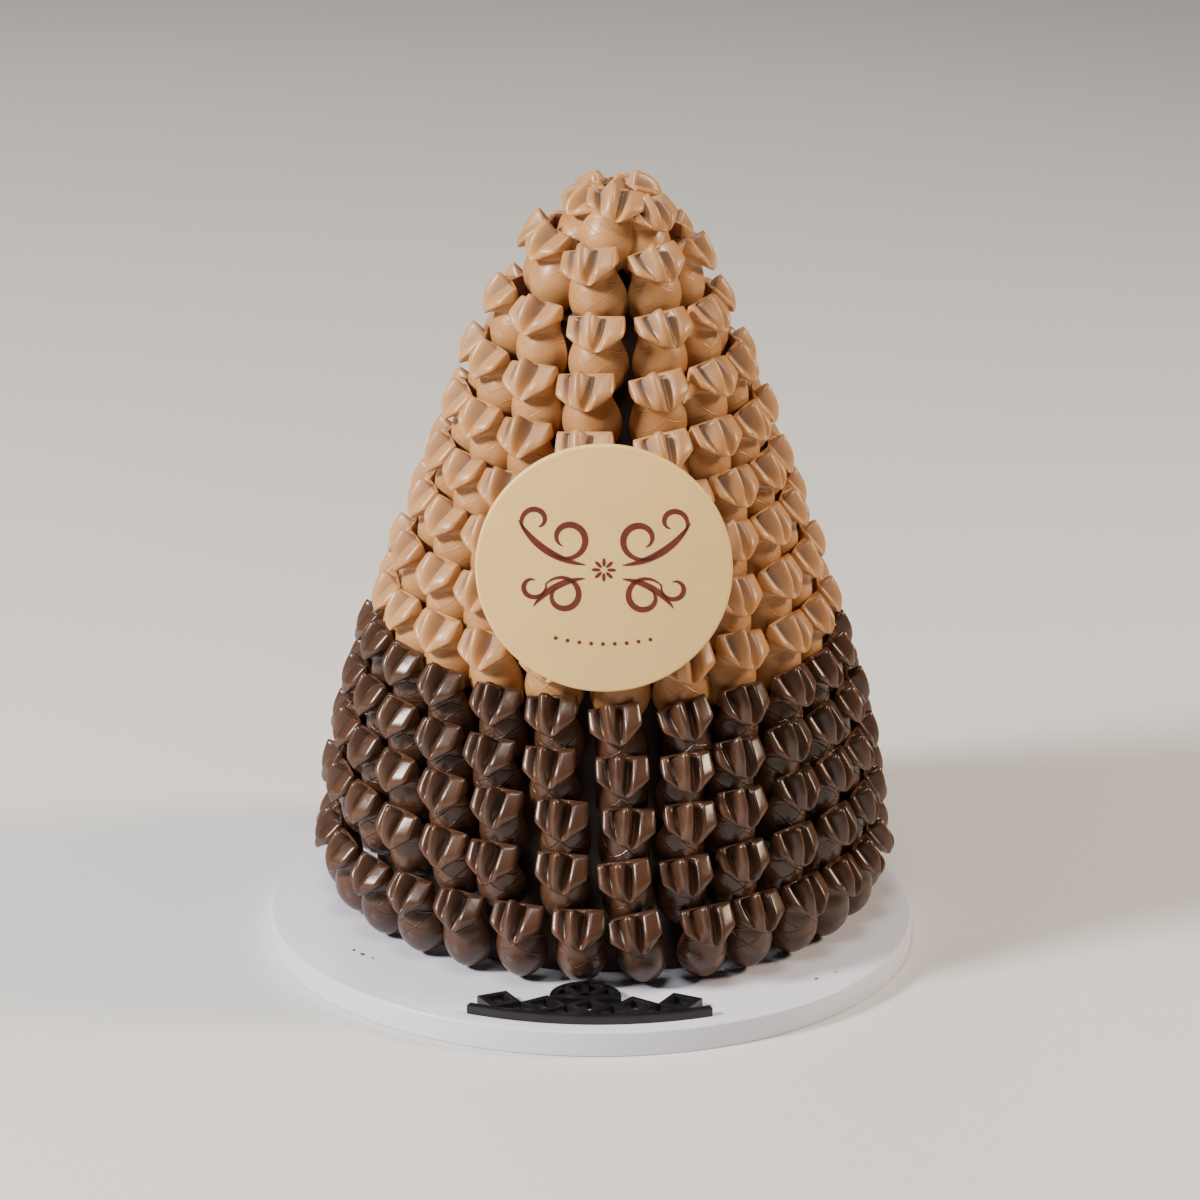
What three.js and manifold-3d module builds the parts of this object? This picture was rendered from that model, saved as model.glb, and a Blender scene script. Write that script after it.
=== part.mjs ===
// A chocolate pyramid on its round board: rows of moulded pineapple-shaped
// pralines lean outwards like shingles round a dark cone, milk chocolate below
// and blond chocolate above, with a round white-chocolate plaque in front.
// Millimetres. +Z is up, the front faces -Y, and the origin is the middle of
// the board's underside. Angles are in degrees and run from the front (-Y)
// towards the right (+X).

import * as THREE from 'three';
import { mergeVertices } from 'three/addons/utils/BufferGeometryUtils.js';
import Module from 'manifold-3d';

const wasm = await Module();
wasm.setup();

// ---- Driving dimensions ----

const GAP = 0.3; // air left between two pieces that touch
const SMALLEST_DETAIL = 0.08; // slivers under this are cleaned off a joined row

const BOARD_RADIUS = 150;
const BOARD_THICKNESS = 11.5;
const BOARD_EDGE = 1.2; // the bevel round its upper edge
const BOARD_SIDES = 44;

// The pyramid stands a little right of the board's middle and well behind it.
const TOWER_X = 5.5;
const TOWER_Y = 23;

// One praline, with a flat back. Length runs up from the nose to the crown's
// tips, and depth runs out from the flat back.
const LENGTH = 42;
const NOSE_DEPTH = 2.6; // the noses run to a point inside the cone
const BELLY = { up: 13.5, halfWidth: 12.8, depth: 11.3 };
const NECK = { up: 25.5, halfWidth: 8.6, depth: 8.6 };
const FACET_SHARE = 0.62; // share of the belly's width that its front facet takes
const CROWN_HALF_WIDTH = 12.4;
const CROWN_RIM_UP = 33.5; // of the crown's lower outer corners
const CROWN_RIM_DEPTH = 9.6;
const KEEL_UP = 26.5; // where the leaves meet over the neck
const KEEL_DEPTH = 12;
const TIP_HALF_WIDTH = 12;
const TIP_DEPTH = 5.2;
const FOLD_HALF_WIDTH = 4.6; // of the folds either side of the middle ridge
const FOLD_DEPTH = 4;
const RIDGE_DEPTH = 7.6;
const RIDGE_RISE = 0.8; // the middle ridge ends a little above the leaves

// The point of a praline that a row's height and radius are given for.
const CROWN_MIDDLE_UP = 34;
const CROWN_MIDDLE_DEPTH = 10.5;

const MILK = { name: 'milk', color: 0x5a3a2c, roughness: 0.36, bodyWidth: 0.88 };
const BLOND = { name: 'blond', color: 0xc99b6e, roughness: 0.42, bodyWidth: 1 };

// Rows from the board up: pralines in the row, where one of them stands, and
// the height above the board and radius of their crowns' middles. `gap` is the
// wider angle between that one and its left neighbour, at the front. `waver`
// is the row's share of the height waves, and `roll` how far its front
// pralines tip over (negative: their tops to the left).
const ROWS = [
  { kind: MILK, count: 28, turn: 7.2, height: 32.3, radius: 132.5, waver: 0, roll: -11 },
  { kind: MILK, count: 27, turn: 4, height: 57, radius: 129.5, waver: 1, roll: -7 },
  { kind: MILK, count: 26, turn: 4.1, height: 81, radius: 125, waver: 1, roll: 1 },
  { kind: MILK, count: 25, turn: 3.1, height: 103, radius: 119.5, waver: 1, roll: -3 },
  { kind: MILK, count: 23, turn: 3.6, height: 125, radius: 113, waver: 1, roll: -15 },
  { kind: BLOND, count: 21, turn: 3, height: 147, radius: 105.5, waver: 0.5, roll: -4 },
  { kind: BLOND, count: 19, turn: 1, height: 170, radius: 98, waver: 0.4, roll: -4 },
  { kind: BLOND, count: 18, turn: 0.7, height: 193, radius: 89.5, waver: 0.4, roll: -4 },
  { kind: BLOND, count: 17, turn: 5, height: 214, radius: 81.5, waver: 0.6, roll: -4 },
  { kind: BLOND, count: 15, turn: 21, gap: 29.3, height: 237, radius: 74, waver: 0.8, roll: -8 },
  { kind: BLOND, count: 13, turn: 22.5, gap: 32, height: 261, radius: 65, waver: 0.6, roll: -9 },
  { kind: BLOND, count: 10, turn: 28.7, gap: 36.7, height: 286, radius: 54, waver: 0.8, roll: -9 },
  { kind: BLOND, count: 8, turn: 27.2, gap: 40.5, height: 313, radius: 40, waver: 0.4, roll: -7 },
  { kind: BLOND, count: 6, turn: 8, height: 337.5, radius: 27, waver: 0, roll: 0 },
];
const SHINGLE_ANGLE = 33; // between a praline's back and the pyramid's slope
const FIRST_LEAN = 14; // the bottom row stands on the board
const FIRST_FRONT_LEAN = 7; // and leans out further at the front
const LAST_LEAN = -4; // the top row lies back round the point
const NOSE_SINK = 3; // how far a step of the cone reaches in front of its row's noses
const NOSE_CLEARANCE = 7.6; // from a row's parting plane up to its pralines' noses
const CONE_TIP_RADIUS = 6;
const CONE_TIP_UP = 30; // above the top row's noses

// The rows sink a little at the front and climb on the left. Each wave has its
// angle, its half width in degrees and its height in millimetres.
const FRONT_WAVE = { angle: 10, width: 18, rise: -5 };
const LEFT_WAVE = { angle: -72, width: 32, rise: 5.5 };

// The six pralines round the point each lie in their own way.
const TOP_PLACES = [
  { angle: 8, rise: 0, lean: -2, roll: 13 },
  { angle: 60, rise: -6, lean: -12, roll: -4 },
  { angle: 110, rise: 2, lean: -23, roll: -3 },
  { angle: 172, rise: 1, lean: -30, roll: 0 },
  { angle: 235, rise: 0, lean: -20, roll: 0 },
  { angle: 315, rise: 0, lean: -18, roll: 6 },
];

// Hand placing: the largest each praline strays from its even place.
const STRAY_TURN = 1.1;
const STRAY_LEAN = 1.0;
const STRAY_ROLL = 4;

const PLAQUE_RADIUS = 56.4;
const PLAQUE_THICKNESS = 3;
const PLAQUE_EDGE = 0.8; // the bevel round its front
const PLAQUE_SIDES = 32;
const PLAQUE_TURN = -0.8;
const PLAQUE_LEAN_BACK = 1.5;
const PLAQUE_HEIGHT = 193; // of its middle, above the board
const PLAQUE_DISTANCE = 108.5; // of its back, from the pyramid's axis

// The ornament follows the board's rim: a strip with openwork lozenges behind
// it and a half-round fan in the middle. Radii are from the board's middle.
const ORNAMENT_THICKNESS = 4.2;
const STRIP_INNER_RADIUS = 138.5;
const STRIP_OUTER_RADIUS = 142;
const STRIP_HALF_ANGLE = 22.5;
const STRIP_SIDES = 6;
const LOZENGE_COUNT = 5;
const LOZENGE_PITCH = 9; // degrees
const LOZENGE_RADIUS = 130;
const LOZENGE_HALF_WIDTH = 10.4;
const LOZENGE_HALF_DEPTH = 9.6;
const LOZENGE_OPENING = 0.58; // share of a lozenge that is open
const FAN_X = -2;
const FAN_BACK = 119; // the fan's straight side, in front of the board's middle
const FAN_RADIUS = 16;
const FAN_INNER_RADIUS = 12.6;
const FAN_SIDES = 6;
const FAN_BAR = 3; // width of the fan's bars
const FAN_SPREAD = 45; // degrees between the bars inside the fan

// ---- Solids ----

const radians = THREE.MathUtils.degToRad;

// A closed geometry as a solid that can be joined and cut.
function solidOf(geometry) {
  const bare = geometry.clone();
  bare.deleteAttribute('normal');
  bare.deleteAttribute('uv');
  const merged = mergeVertices(bare, 1e-4);
  return new wasm.Manifold(new wasm.Mesh({
    numProp: 3,
    vertProperties: new Float32Array(merged.attributes.position.array),
    triVerts: new Uint32Array(merged.index.array),
  }));
}

function geometryOf(solid) {
  const { vertProperties, triVerts } = solid.getMesh();
  const geometry = new THREE.BufferGeometry();
  geometry.setAttribute('position', new THREE.BufferAttribute(vertProperties, 3));
  geometry.setIndex(new THREE.BufferAttribute(triVerts, 1));
  geometry.computeVertexNormals();
  return geometry;
}

function pieceOf(name, geometry, color, roughness, metalness = 0) {
  const material = new THREE.MeshStandardMaterial({ color, roughness, metalness });
  const mesh = new THREE.Mesh(geometry, material);
  mesh.name = name;
  return mesh;
}

// A body of revolution about +Z. Its facets' middles, not its corners, lie on
// the profile, and one facet faces the angle `turn`.
function turned(profile, sides, turn = 0) {
  const step = 2 * Math.PI / sides;
  const points = profile.map(([r, z]) => new THREE.Vector2(r / Math.cos(step / 2), z));
  const geometry = new THREE.LatheGeometry(points, sides, radians(turn) - step / 2);
  return geometry.rotateX(Math.PI / 2);
}

// ---- One praline ----
// It is a loft through stations from nose to tips. Each station is a line of
// points from left to right over the front, and the back is flat.

function pralineStations(bodyWidth) {
  const nose = [[0, 0, NOSE_DEPTH]];
  const bellyHalf = BELLY.halfWidth * bodyWidth;
  const belly = [
    [-bellyHalf, BELLY.up, 0],
    [-bellyHalf * FACET_SHARE, BELLY.up, BELLY.depth],
    [bellyHalf * FACET_SHARE, BELLY.up, BELLY.depth],
    [bellyHalf, BELLY.up, 0],
  ];
  const neck = [
    [-NECK.halfWidth, NECK.up, 0],
    [0, NECK.up, NECK.depth],
    [NECK.halfWidth, NECK.up, 0],
  ];
  const rim = [
    [-CROWN_HALF_WIDTH, CROWN_RIM_UP, CROWN_RIM_DEPTH],
    [0, KEEL_UP, KEEL_DEPTH],
    [CROWN_HALF_WIDTH, CROWN_RIM_UP, CROWN_RIM_DEPTH],
  ];
  const tips = [
    [-TIP_HALF_WIDTH, LENGTH, 0],
    [-TIP_HALF_WIDTH, LENGTH, TIP_DEPTH],
    [-FOLD_HALF_WIDTH, LENGTH, FOLD_DEPTH],
    [0, LENGTH + RIDGE_RISE, RIDGE_DEPTH],
    [FOLD_HALF_WIDTH, LENGTH, FOLD_DEPTH],
    [TIP_HALF_WIDTH, LENGTH, TIP_DEPTH],
    [TIP_HALF_WIDTH, LENGTH, 0],
  ];
  return [nose, belly, neck, rim, tips];
}

// Triangles between two lines of points that may differ in number.
function zip(lower, upper) {
  const triangles = [];
  let i = 0;
  let j = 0;
  while (i < lower.length - 1 || j < upper.length - 1) {
    const nextLower = (i + 1) / (lower.length - 1);
    const nextUpper = (j + 1) / (upper.length - 1);
    const canLower = i < lower.length - 1;
    const canUpper = j < upper.length - 1;
    if (canLower && (!canUpper || nextLower <= nextUpper)) {
      triangles.push([lower[i], lower[i + 1], upper[j]]);
      i += 1;
    } else {
      triangles.push([lower[i], upper[j + 1], upper[j]]);
      j += 1;
    }
  }
  return triangles;
}

// Triangles that close a line of points into a flat end.
function fan(line) {
  return line.slice(1, -1).map((point, k) => [line[0], point, line[k + 2]]);
}

function pralineGeometry(bodyWidth) {
  const stations = pralineStations(bodyWidth);
  const triangles = [];
  for (let s = 0; s < stations.length - 1; s += 1) {
    const lower = stations[s];
    const upper = stations[s + 1];
    triangles.push(...zip(lower, upper));
    // The flat back between the two stations.
    if (s > 0) triangles.push([lower.at(-1), lower[0], upper.at(-1)]);
    triangles.push([lower[0], upper[0], upper.at(-1)]);
  }
  triangles.push(...fan(stations.at(-1)));
  // (width, up, depth) becomes x, z and -y, so the front of the praline faces -Y.
  const corners = triangles.flat().map(([w, up, depth]) => new THREE.Vector3(w, -depth, up));
  return mergeVertices(new THREE.BufferGeometry().setFromPoints(corners), 1e-4);
}

// ---- Rows ----

// A repeatable stray between -1 and 1 for praline `k` of row `row`.
function stray(row, k, salt) {
  const value = Math.sin(12.9898 * row + 78.233 * k + 37.719 * salt) * 43758.5453;
  return 2 * (value - Math.floor(value)) - 1;
}

function leanOf(row) {
  if (row === 0) return FIRST_LEAN;
  if (row === ROWS.length - 1) return LAST_LEAN;
  const below = ROWS[row - 1];
  const above = ROWS[row + 1];
  const slope = Math.atan2(below.radius - above.radius, above.height - below.height);
  return SHINGLE_ANGLE - THREE.MathUtils.radToDeg(slope);
}

// Where the backs of a row's pralines start: radius and height of the nose.
function footOf(row) {
  const { radius, height } = ROWS[row];
  const lean = radians(leanOf(row));
  return {
    radius: radius - CROWN_MIDDLE_UP * Math.sin(lean) - CROWN_MIDDLE_DEPTH * Math.cos(lean),
    height: height - CROWN_MIDDLE_UP * Math.cos(lean) + CROWN_MIDDLE_DEPTH * Math.sin(lean),
  };
}

const feet = ROWS.map((_, row) => footOf(row));

function partingHeight(row) {
  return row === 0 ? GAP : feet[row].height - NOSE_CLEARANCE;
}

// A smooth bump round a wave's angle: 1 at its middle, 0 far from it.
function bump(angle, wave) {
  const away = ((angle - wave.angle + 540) % 360) - 180;
  return Math.exp(-((away / wave.width) ** 2));
}

// The turn, rise, lean and roll of praline `k` of row `row`, as it was set down.
function settingOf(row, k) {
  const { count, turn, waver, roll } = ROWS[row];
  const strayRoll = STRAY_ROLL * stray(row, k, 2);
  if (row === ROWS.length - 1) {
    const place = TOP_PLACES[k];
    return { ...place, roll: place.roll + strayRoll };
  }
  const gap = ROWS[row].gap ?? 360 / count;
  const angle = turn + k * (360 - gap) / (count - 1);
  const front = bump(angle, FRONT_WAVE);
  const frontLean = row === 0 ? FIRST_FRONT_LEAN * front : 0;
  return {
    angle: angle + STRAY_TURN * stray(row, k, 1),
    rise: waver * (FRONT_WAVE.rise * front + LEFT_WAVE.rise * bump(angle, LEFT_WAVE)),
    lean: leanOf(row) + frontLean + STRAY_LEAN * 0.5 * (1 + stray(row, k, 3)),
    roll: roll * front + strayRoll,
  };
}

// The praline's own frame: rolled about its depth, leant outwards from the
// vertical, moved out to the row's foot and turned to its place in the row.
function pralinePlace(row, k) {
  const { radius, height } = feet[row];
  const { angle, rise, lean, roll } = settingOf(row, k);
  return new THREE.Matrix4()
    .multiply(new THREE.Matrix4().makeRotationZ(radians(angle)))
    .multiply(new THREE.Matrix4().makeTranslation(0, -radius, height + rise))
    .multiply(new THREE.Matrix4().makeRotationX(radians(lean)))
    .multiply(new THREE.Matrix4().makeTranslation(0, 0, BELLY.up))
    .multiply(new THREE.Matrix4().makeRotationY(radians(roll)))
    .multiply(new THREE.Matrix4().makeTranslation(0, 0, -BELLY.up));
}

// The step of the cone that a row's noses are stuck into, one facet to each
// praline. It reaches up to where the next row's step starts, and the last one
// runs on to the cone's point.
function coneStep(row) {
  const { count, turn } = ROWS[row];
  const bottom = partingHeight(row);
  const radius = feet[row].radius + NOSE_SINK;
  const isLast = row === ROWS.length - 1;
  const top = isLast ? feet[row].height + CONE_TIP_UP : partingHeight(row + 1) - GAP;
  const topRadius = isLast ? CONE_TIP_RADIUS : radius;
  const profile = [[0, bottom], [radius, bottom], [topRadius, top], [0, top]];
  return solidOf(turned(profile, count, turn));
}

function rowSolid(row) {
  const { kind, count } = ROWS[row];
  const praline = solidOf(pralineGeometry(kind.bodyWidth));
  const parts = [coneStep(row)];
  for (let k = 0; k < count; k += 1) {
    parts.push(praline.transform(pralinePlace(row, k).elements));
  }
  return wasm.Manifold.union(parts).simplify(SMALLEST_DETAIL);
}

function rowPiece(row) {
  const { kind } = ROWS[row];
  const name = `row_${String(row + 1).padStart(2, '0')}_${kind.name}`;
  const mesh = pieceOf(name, geometryOf(rowSolid(row)), kind.color, kind.roughness);
  mesh.position.set(TOWER_X, TOWER_Y, BOARD_THICKNESS);
  return mesh;
}

// ---- Board ----

function boardPiece() {
  const profile = [
    [0, 0],
    [BOARD_RADIUS, 0],
    [BOARD_RADIUS, BOARD_THICKNESS - BOARD_EDGE],
    [BOARD_RADIUS - BOARD_EDGE, BOARD_THICKNESS],
    [0, BOARD_THICKNESS],
  ];
  return pieceOf('board', turned(profile, BOARD_SIDES), 0xe9e7ef, 0.4);
}

// ---- Plaque ----

function plaquePiece() {
  const profile = [
    [0, 0],
    [PLAQUE_RADIUS, 0],
    [PLAQUE_RADIUS, PLAQUE_THICKNESS - PLAQUE_EDGE],
    [PLAQUE_RADIUS - PLAQUE_EDGE, PLAQUE_THICKNESS],
    [0, PLAQUE_THICKNESS],
  ];
  const mesh = pieceOf('plaque', turned(profile, PLAQUE_SIDES), 0xe6cf94, 0.45);
  mesh.position.set(0, -PLAQUE_DISTANCE, PLAQUE_HEIGHT);
  mesh.rotation.x = Math.PI / 2 - radians(PLAQUE_LEAN_BACK);
  const group = new THREE.Group();
  group.add(mesh);
  group.position.set(TOWER_X, TOWER_Y, BOARD_THICKNESS);
  group.rotation.z = radians(PLAQUE_TURN);
  return group;
}

// ---- Ornament on the board ----

// Points on a circle from one angle to another.
function arc(radius, from, to, sides) {
  return Array.from({ length: sides + 1 }, (_, i) => {
    const angle = radians(from + (to - from) * i / sides);
    return [radius * Math.sin(angle), -radius * Math.cos(angle)];
  });
}

function rectangle(halfWidth, from, to) {
  return [[-halfWidth, from], [halfWidth, from], [halfWidth, to], [-halfWidth, to]];
}

function lozenge(share) {
  const x = LOZENGE_HALF_WIDTH * share;
  const y = LOZENGE_HALF_DEPTH * share;
  return [[-x, 0], [0, -y], [x, 0], [0, y]];
}

// A flat plate of the ornament's thickness, open where `hole` is.
function plate(outline, hole) {
  const shape = new THREE.Shape(outline.map(([x, y]) => new THREE.Vector2(x, y)));
  if (hole) shape.holes.push(new THREE.Path(hole.map(([x, y]) => new THREE.Vector2(x, y))));
  const options = { depth: ORNAMENT_THICKNESS, bevelEnabled: false };
  return solidOf(new THREE.ExtrudeGeometry(shape, options));
}

function fanSolid() {
  const outer = arc(FAN_RADIUS, 90, 270, FAN_SIDES);
  const inner = arc(FAN_INNER_RADIUS, 270, 90, FAN_SIDES);
  const bar = plate(rectangle(FAN_BAR / 2, 0, FAN_RADIUS - FAN_BAR / 2));
  return wasm.Manifold.union([
    plate([...outer, ...inner]),
    plate(rectangle(FAN_RADIUS, -FAN_BAR, 0.5 * FAN_BAR)),
    bar,
    bar.rotate([0, 0, FAN_SPREAD]),
    bar.rotate([0, 0, -FAN_SPREAD]),
  ]);
}

function ornamentPiece() {
  const span = STRIP_HALF_ANGLE;
  const parts = [plate([
    ...arc(STRIP_OUTER_RADIUS, -span, span, STRIP_SIDES),
    ...arc(STRIP_INNER_RADIUS, span, -span, STRIP_SIDES),
  ])];
  const link = plate(lozenge(1), lozenge(LOZENGE_OPENING)).translate([0, -LOZENGE_RADIUS, 0]);
  for (let i = 0; i < LOZENGE_COUNT; i += 1) {
    const turn = (i - (LOZENGE_COUNT - 1) / 2) * LOZENGE_PITCH;
    parts.push(link.rotate([0, 0, turn]));
  }
  parts.push(fanSolid().translate([FAN_X, -FAN_BACK, 0]));
  const solid = wasm.Manifold.union(parts).simplify(SMALLEST_DETAIL);
  const mesh = pieceOf('board_ornament', geometryOf(solid), 0x0b0b0c, 0.35);
  mesh.position.set(0, 0, BOARD_THICKNESS + GAP);
  return mesh;
}

// ---- The whole ----

const pyramid = new THREE.Group();
pyramid.add(boardPiece());
ROWS.forEach((_, row) => pyramid.add(rowPiece(row)));
pyramid.add(plaquePiece());
pyramid.add(ornamentPiece());

export default pyramid;
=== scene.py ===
# %% [markdown]
# # A chocolate pyramid on its board
# About 250 moulded pralines, shaped like small pineapples, lean on a cone in
# fourteen rows: milk chocolate below, blond chocolate above. The pyramid
# stands on a round white board with a white-chocolate plaque in front.
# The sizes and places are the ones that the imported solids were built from,
# except where a cell says otherwise. This notebook gives each piece its real
# surface, in metres, with +Z up and the front facing -Y.

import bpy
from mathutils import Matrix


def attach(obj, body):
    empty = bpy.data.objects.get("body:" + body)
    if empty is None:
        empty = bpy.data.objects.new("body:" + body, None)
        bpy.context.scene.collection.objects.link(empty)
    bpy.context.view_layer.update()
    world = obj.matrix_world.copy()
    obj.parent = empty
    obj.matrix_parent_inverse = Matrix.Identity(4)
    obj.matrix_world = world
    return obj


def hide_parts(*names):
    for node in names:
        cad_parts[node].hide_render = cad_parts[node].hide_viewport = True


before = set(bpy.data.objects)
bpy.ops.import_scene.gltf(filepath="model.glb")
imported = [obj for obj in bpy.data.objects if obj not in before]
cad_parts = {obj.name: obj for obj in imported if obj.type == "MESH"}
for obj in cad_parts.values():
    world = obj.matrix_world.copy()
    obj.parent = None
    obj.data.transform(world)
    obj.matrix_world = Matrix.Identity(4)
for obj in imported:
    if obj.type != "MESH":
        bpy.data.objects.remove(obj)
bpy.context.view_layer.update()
print("nodes:", sorted(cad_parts))

# %% Modules and units
import math
import random

import bmesh
import bpy
from mathutils import Matrix, Vector

MM = 0.001
print("one millimetre is", MM, "m")

# %% [markdown]
# ## Small helpers
# A bmesh is Blender's workbench for a mesh: operators shape it, and at the
# end it becomes an object. Every piece goes through the same last step, which
# turns all faces outwards, shades them smooth up to a chosen angle, tells
# the frame which body the piece rides on and hides the solids it stands for.

# %% From a bmesh to a finished piece
def finish_piece(bm, name, materials, solids=(), sharp_angle=40):
    mesh = bpy.data.meshes.new(name)
    bmesh.ops.recalc_face_normals(bm, faces=bm.faces)
    for face in bm.faces:
        face.smooth = True
    bm.to_mesh(mesh)
    bm.free()
    mesh.set_sharp_from_angle(angle=math.radians(sharp_angle))
    for material in materials:
        mesh.materials.append(material)
    piece = bpy.data.objects.new(name, mesh)
    bpy.context.scene.collection.objects.link(piece)
    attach(piece, "root")
    if solids:
        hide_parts(*solids)
    print(name, len(mesh.vertices), "points,", len(mesh.polygons), "faces")
    return piece


# %% Colours and shader nodes
def srgb(red, green, blue):
    """A colour as a screen shows it (0 to 255) as the linear one Blender wants."""
    def linear(value):
        value /= 255
        return value / 12.92 if value <= 0.04045 else ((value + 0.055) / 1.055) ** 2.4
    return (linear(red), linear(green), linear(blue), 1.0)


def add_node(tree, kind, inputs=None, **settings):
    """Add a shader node; an input may be a plain value or another node's output."""
    node = tree.nodes.new(kind)
    for name, value in settings.items():
        setattr(node, name, value)
    for socket, value in (inputs or {}).items():
        if isinstance(value, bpy.types.NodeSocket):
            tree.links.new(value, node.inputs[socket])
        else:
            node.inputs[socket].default_value = value
    return node


def new_material(name, **constants):
    """An empty material with a Principled shader whose constants are set on its sockets."""
    material = bpy.data.materials.new(name)
    material.use_nodes = True
    tree = material.node_tree
    shader = tree.nodes["Principled BSDF"]
    for socket, value in constants.items():
        shader.inputs[socket.replace("_", " ")].default_value = value
    return material, tree, shader


def object_place(tree):
    """The Object coordinates, which every material reads its pattern from."""
    return add_node(tree, "ShaderNodeTexCoord").outputs["Object"]


def noise(tree, place, scale, detail):
    return add_node(
        tree, "ShaderNodeTexNoise", {"Vector": place, "Scale": scale, "Detail": detail}
    )


def combine(tree, operation, one, other, **settings):
    """One Math node; an input may be a number or another node's output."""
    return add_node(
        tree, "ShaderNodeMath", {0: one, 1: other}, operation=operation, **settings
    ).outputs[0]


def blend(tree, share, one, other):
    """A colour between two others."""
    return add_node(
        tree, "ShaderNodeMix", {"Factor": share, "A": one, "B": other}, data_type="RGBA"
    ).outputs["Result"]


def mottled_material(name, scale, detail, one, other, **constants):
    """A material whose colour drifts between two near ones; also its mottle and tree."""
    material, tree, shader = new_material(name, **constants)
    mottle = noise(tree, object_place(tree), scale, detail).outputs["Fac"]
    tree.links.new(blend(tree, mottle, one, other), shader.inputs["Base Color"])
    return material, tree, shader, mottle


print("black and white:", srgb(0, 0, 0)[:3], srgb(255, 255, 255)[:3])


# %% [markdown]
# ## How the rows stand
# Each row is a ring of pralines with one lean. The rings aren't perfect: they
# sink a little at the front and climb on the left, and each praline was set
# down by hand, so it strays in turn, lean and roll. Round the point no rule
# holds, so those pralines have a place each. Much the same rule places the
# solids, which roll about the nose instead of the neck and have other places
# round the point, so a dressed praline lands a few millimetres from its solid.

# %% The rows' measures
TOWER_X = 5.5
TOWER_Y = 23.0
BOARD_THICKNESS = 11.5
ROLL_UP = 30.0  # how far up a praline the point is that it rolls about
CROWN_MIDDLE_UP = 34.0
CROWN_MIDDLE_DEPTH = 10.5

# count, turn, gap at the front (None: even), height, radius, waver, roll. The
# last two rows leave out what TOP_PLACES says for each of their pralines.
ROWS = [
    (28, 7.2, None, 32.3, 132.5, 0.0, -11),
    (27, 4.0, None, 57.0, 129.5, 1.0, -7),
    (26, 4.1, None, 81.0, 125.0, 1.0, 1),
    (25, 3.1, None, 103.0, 119.5, 1.0, -3),
    (23, 3.6, None, 125.0, 113.0, 1.0, -15),
    (21, 3.0, None, 147.0, 105.5, 0.5, -4),
    (19, 1.0, None, 170.0, 98.0, 0.4, -4),
    (18, 0.7, None, 193.0, 89.5, 0.4, -4),
    (17, 5.0, None, 214.0, 81.5, 0.6, -4),
    (15, 21.0, 29.3, 237.0, 74.0, 0.8, -8),
    (13, 22.5, 32.0, 261.0, 65.0, 0.6, -9),
    (10, 28.7, 36.7, 286.0, 54.0, 0.8, -9),
    (8, None, None, 313.0, 40.0, None, None),
    (6, None, None, 337.5, 27.0, None, None),
]
MILK_ROWS = 5
LAST_ROW = len(ROWS) - 1
SHINGLE_ANGLE = 33.0
FIRST_LEAN = 14.0
FIRST_FRONT_LEAN = 7.0
LAST_LEAN = -4.0
STRAY_TURN = 1.1
STRAY_LEAN = 1.0
STRAY_ROLL = 4.0
STRAY_STEPS = (12.9898, 78.233, 37.719)  # uneven steps, so that no pattern shows
STRAY_STRETCH = 43758.5453
FRONT_WAVE = {"angle": 10, "width": 18, "rise": -5.0}
LEFT_WAVE = {"angle": -72, "width": 32, "rise": 5.5}
# turn, rise, lean and roll of each praline round the point, row by row
TOP_PLACES = {
    12: [
        (-14.6, -1, 8, -10), (35, -1, 8, -8), (80, 0, 14, 6), (125, 2, 6, 0),
        (170, 2, 4, 0), (215, 2, 4, 0), (257, 2, 3, 0), (301, 3, 2, 0),
    ],
    13: [
        (3, 0, -2, 12), (44, -5, 2, -6), (110, 1, -20, -3),
        (172, 1, -30, 0), (235, -1, -20, 0), (311, -3, -16, 5),
    ],
}
print("pralines:", sum(row[0] for row in ROWS))


# %% Where each praline goes
def stray(row, k, salt):
    """A repeatable number between -1 and 1."""
    row_step, place_step, salt_step = STRAY_STEPS
    wave = math.sin(row_step * row + place_step * k + salt_step * salt)
    value = wave * STRAY_STRETCH
    return 2 * (value - math.floor(value)) - 1


def bump_at(angle, wave):
    """1 at a wave's middle, 0 far from it."""
    away = (angle - wave["angle"] + 540) % 360 - 180
    return math.exp(-((away / wave["width"]) ** 2))


def lean_of(row):
    """A row's lean in degrees: a fixed angle off the slope of its neighbours."""
    if row == 0:
        return FIRST_LEAN
    if row == LAST_ROW:
        return LAST_LEAN
    below, above = ROWS[row - 1], ROWS[row + 1]
    slope = math.atan2(below[4] - above[4], above[3] - below[3])
    return SHINGLE_ANGLE - math.degrees(slope)


def foot_of(row):
    """Radius and height of the lower ends of a row's backs."""
    height, radius = ROWS[row][3:5]
    lean = math.radians(lean_of(row))
    return (
        radius - CROWN_MIDDLE_UP * math.sin(lean) - CROWN_MIDDLE_DEPTH * math.cos(lean),
        height - CROWN_MIDDLE_UP * math.cos(lean) + CROWN_MIDDLE_DEPTH * math.sin(lean),
    )


def setting_of(row, k):
    """Turn, rise, lean and roll of one praline."""
    count, turn, gap, _, _, waver, roll = ROWS[row]
    stray_roll = STRAY_ROLL * stray(row, k, 2)
    if row in TOP_PLACES:
        angle, rise, lean, own_roll = TOP_PLACES[row][k]
        return angle, rise, lean, own_roll + stray_roll
    gap = gap or 360 / count
    angle = turn + k * (360 - gap) / (count - 1)
    front = bump_at(angle, FRONT_WAVE)
    left = bump_at(angle, LEFT_WAVE)
    rise = waver * (FRONT_WAVE["rise"] * front + LEFT_WAVE["rise"] * left)
    lean = lean_of(row) + STRAY_LEAN * 0.5 * (1 + stray(row, k, 3))
    if row == 0:
        lean += FIRST_FRONT_LEAN * front
    return angle + STRAY_TURN * stray(row, k, 1), rise, lean, roll * front + stray_roll


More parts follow.
